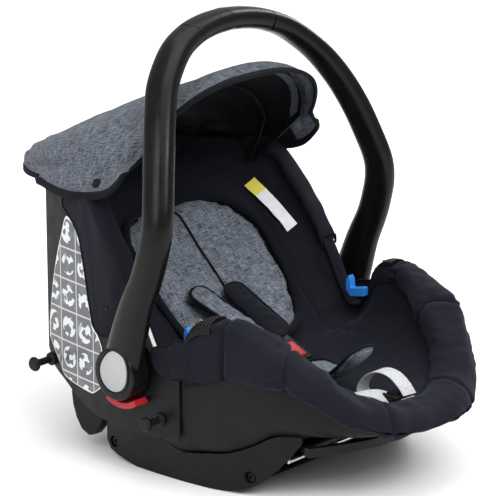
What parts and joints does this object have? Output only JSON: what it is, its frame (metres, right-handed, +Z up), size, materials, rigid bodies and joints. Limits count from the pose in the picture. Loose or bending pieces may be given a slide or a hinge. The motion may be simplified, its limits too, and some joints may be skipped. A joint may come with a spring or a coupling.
{
  "type": "infant car seat",
  "caption": "Infant car seat with rocker base, swinging carry handle, folding canopy, padded cover, insert and harness with buckle.",
  "frame": {"origin": "centre of the bounding box on the floor plane the rockers stand on", "axes": "+Z up, -Y towards the foot end, +Y towards the head end, X across the seat"},
  "size_m": [0.447, 0.6234, 0.5475],
  "materials": {
    "shell_plastic": "moulded black plastic with a fine satin grain",
    "handle_plastic": "satin brown-black plastic",
    "trim_plastic": "matt black plastic",
    "steel": "plain bright steel",
    "navy_fabric": "dark navy woven polyester",
    "grey_fabric": "heather grey melange weave",
    "webbing": "black polyester webbing",
    "white_webbing": "white polyester webbing",
    "white_foam": "white moulded bead foam",
    "red_plastic": "red moulded plastic",
    "blue_plastic": "blue moulded plastic",
    "black_lining": "thin black lining cloth",
    "label_film": "dark grey printed film with plain pictogram shapes",
    "tag_fabric": "blank white and yellow woven tag",
    "badge_plastic": "plain silver grey badge"
  },
  "bodies": {
    "seat": {"seat_shell": "shell_plastic", "foam_liner": "white_foam", "seat_cover": "navy_fabric", "base_pan": "shell_plastic", "front_rod": "steel", "front_cross_bar": "trim_plastic", "front_lip": "trim_plastic", "canopy": "grey_fabric", "foot_bolster": "navy_fabric", "body_insert": "grey_fabric", "buckle_body": "trim_plastic", "crotch_pad": "grey_fabric", "adjuster_housing": "trim_plastic", "pull_strap": "white_webbing", "splitter_plate": "steel", "base_screw_1": "steel", "base_screw_2": "steel", "base_screw_3": "steel", "base_screw_4": "steel", "side_panel_left": "shell_plastic", "side_panel_right": "shell_plastic", "rocker_left": "shell_plastic", "rocker_right": "shell_plastic", "rear_foot_left": "shell_plastic", "rear_foot_right": "shell_plastic", "rear_adapter_pin_left": "trim_plastic", "rear_adapter_pin_right": "trim_plastic", "front_adapter_pin_left": "trim_plastic", "front_adapter_pin_right": "trim_plastic", "hub_boss_left": "trim_plastic", "hub_boss_right": "trim_plastic", "pivot_pin_left": "steel", "pivot_pin_right": "steel", "release_spring_left": "steel", "release_spring_right": "steel", "canopy_hinge_pin_left": "trim_plastic", "canopy_hinge_pin_right": "trim_plastic", "wing_cover_left": "navy_fabric", "wing_cover_right": "navy_fabric", "arm_cover_left": "navy_fabric", "arm_cover_right": "navy_fabric", "shoulder_pad_left": "grey_fabric", "shoulder_pad_right": "grey_fabric", "shoulder_strap_left": "webbing", "shoulder_strap_right": "webbing", "buckle_tongue_left": "steel", "buckle_tongue_right": "steel", "belt_guide_left": "blue_plastic", "belt_guide_right": "blue_plastic"},
    "handle": {"handle_leg_left": "handle_plastic", "handle_leg_right": "handle_plastic", "handle_grip": "handle_plastic"},
    "canopy_front": {"canopy_front_bow": "trim_plastic"},
    "canopy_middle": {"canopy_middle_bow": "trim_plastic"},
    "release_left": {"release_button_left": "red_plastic"},
    "release_right": {"release_button_right": "red_plastic"},
    "lock_left": {"lock_ring_left": "steel"},
    "lock_right": {"lock_ring_right": "steel"},
    "buckle_press": {"buckle_button": "red_plastic"},
    "adjuster_press": {"adjuster_button": "trim_plastic"}
  },
  "joints": [
    {"name": "handle_swing", "type": "hinge", "parent": "seat", "child": "handle", "pos_m": [0, 0.01175, 0.137], "axis": [1, 0, 0], "range_deg": [-85, 80]},
    {"name": "canopy_fold", "type": "hinge", "parent": "seat", "child": "canopy_front", "pos_m": [0, 0.11675, 0.322], "axis": [1, 0, 0], "range_deg": [-75, 0], "deforming": ["canopy"]},
    {"name": "canopy_middle_fold", "type": "hinge", "parent": "seat", "child": "canopy_middle", "pos_m": [0, 0.11675, 0.322], "axis": [1, 0, 0], "range_deg": [-60, 0]},
    {"name": "release_left_press", "type": "slide", "parent": "seat", "child": "release_left", "axis": [0, 0, 1], "range_m": [0, 0.003], "stiffness_N_per_m": 500, "deforming": ["release_spring_left"]},
    {"name": "release_right_press", "type": "slide", "parent": "seat", "child": "release_right", "axis": [0, 0, 1], "range_m": [0, 0.003], "stiffness_N_per_m": 500, "deforming": ["release_spring_right"]},
    {"name": "lock_left_slide", "type": "slide", "parent": "seat", "child": "lock_left", "axis": [1, 0, 0], "range_m": [0, 0.0025]},
    {"name": "lock_right_slide", "type": "slide", "parent": "seat", "child": "lock_right", "axis": [-1, 0, 0], "range_m": [0, 0.0025]},
    {"name": "buckle_button_press", "type": "slide", "parent": "seat", "child": "buckle_press", "axis": [0, 0.4226, -0.9063], "range_m": [0, 0.0025], "stiffness_N_per_m": 600},
    {"name": "adjuster_button_press", "type": "slide", "parent": "seat", "child": "adjuster_press", "axis": [0, 0, -1], "range_m": [0, 0.002], "stiffness_N_per_m": 600}
  ],
  "couplings": [
    {"joint": "canopy_middle_fold", "follows": "canopy_fold", "ratio": 0.8},
    {"joint": "lock_left_slide", "follows": "release_left_press", "ratio": 0.8333},
    {"joint": "lock_right_slide", "follows": "release_right_press", "ratio": 0.8333}
  ]
}
